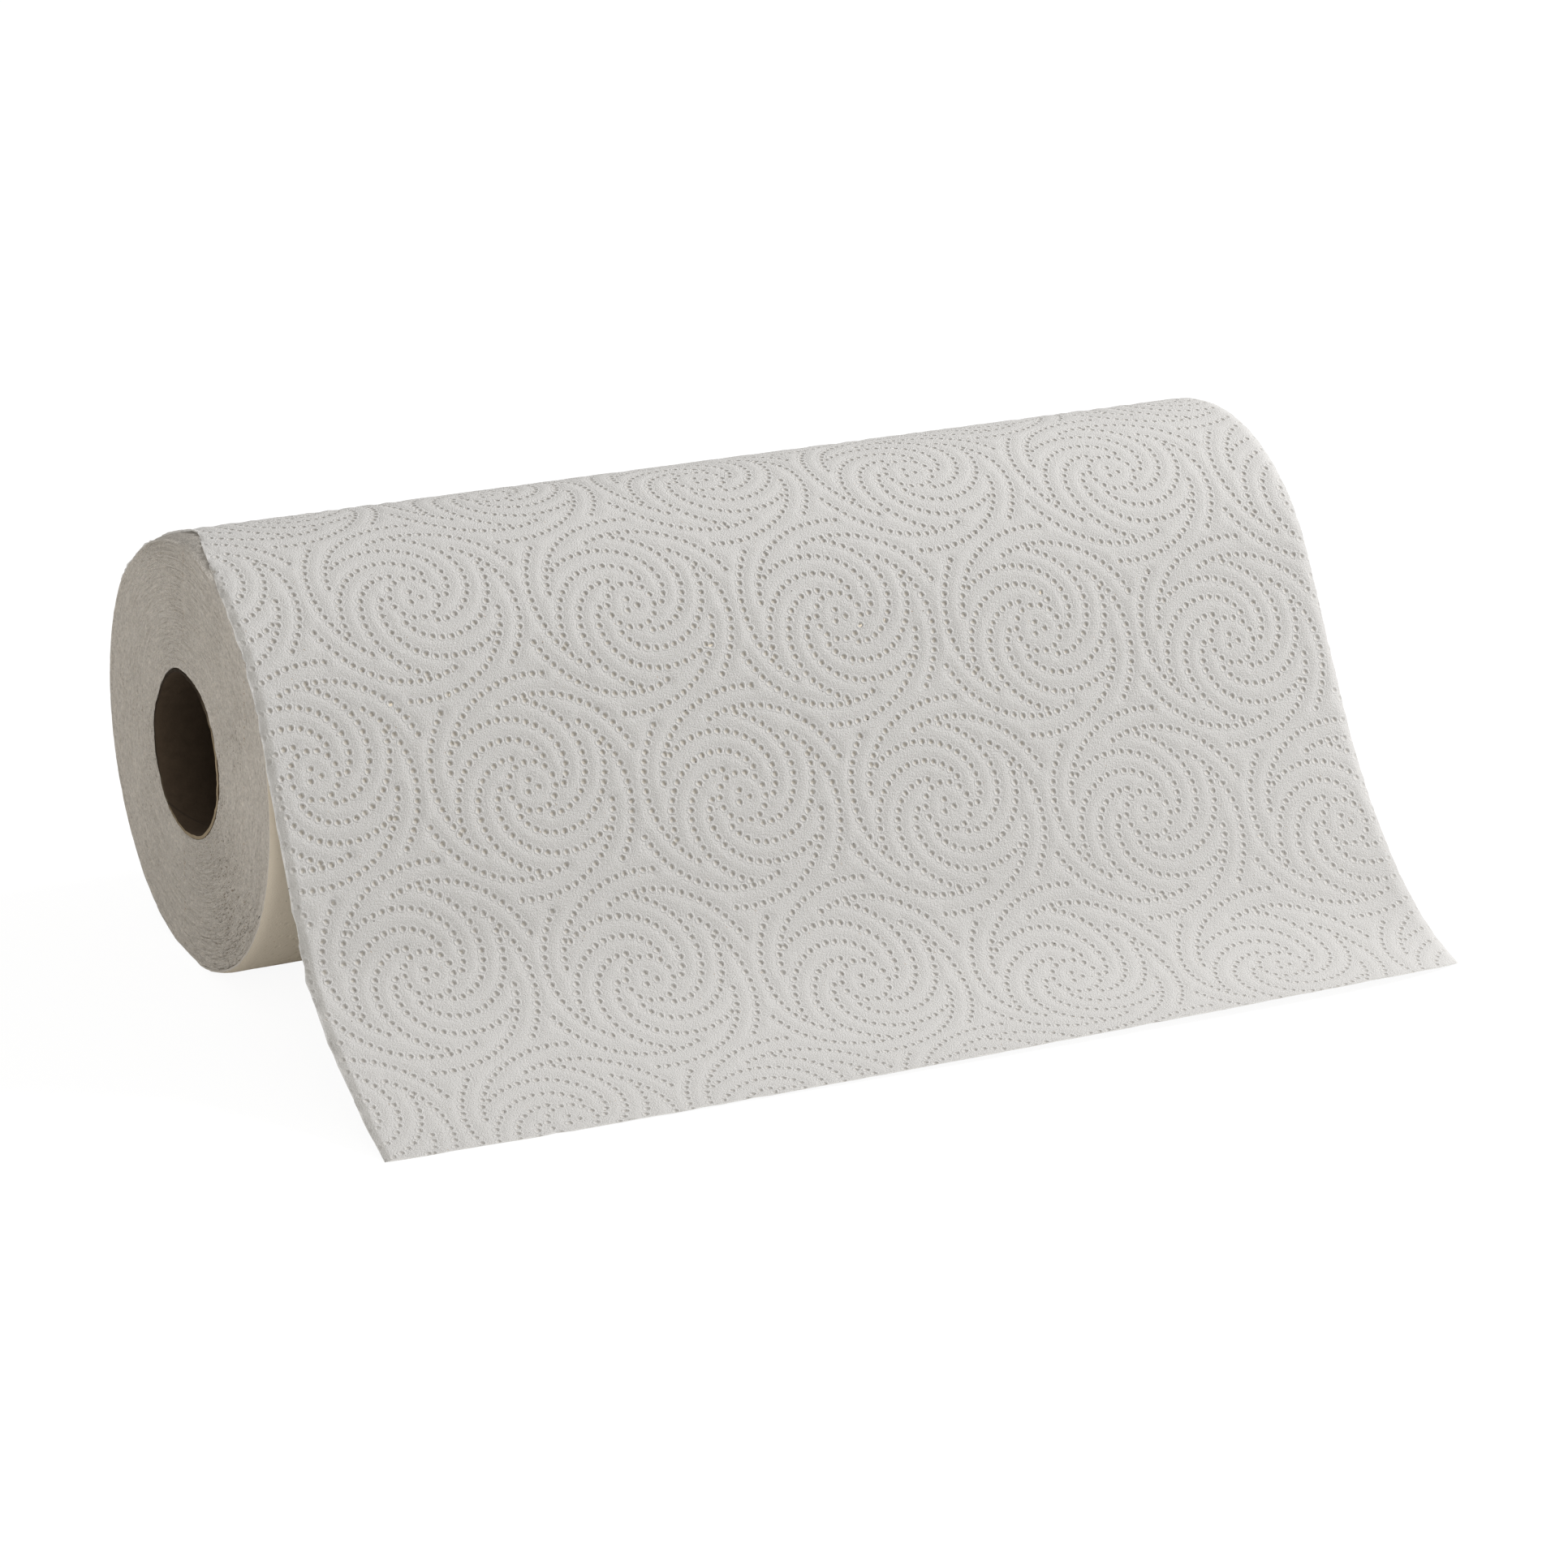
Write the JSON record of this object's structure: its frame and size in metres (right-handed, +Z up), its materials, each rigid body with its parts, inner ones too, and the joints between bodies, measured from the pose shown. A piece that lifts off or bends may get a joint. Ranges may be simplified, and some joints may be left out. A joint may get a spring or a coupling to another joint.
{
  "type": "paper towel roll",
  "caption": "Roll of embossed white paper towel wound on an open cardboard core, lying on its side with the loose end of the web hanging off the front onto the floor.",
  "frame": {"origin": "middle of the core's bore, half way along the roll", "axes": "+X along the bore, +Z up, -Y to the front where the tail hangs"},
  "size_m": [0.2794, 0.1729, 0.104],
  "materials": {
    "kraft_board": "matte brown kraft board",
    "towel_paper": "soft matte embossed tissue, warm white"
  },
  "bodies": {
    "root": {"core_tube": "kraft_board", "paper_roll": "towel_paper"}
  },
  "joints": []
}
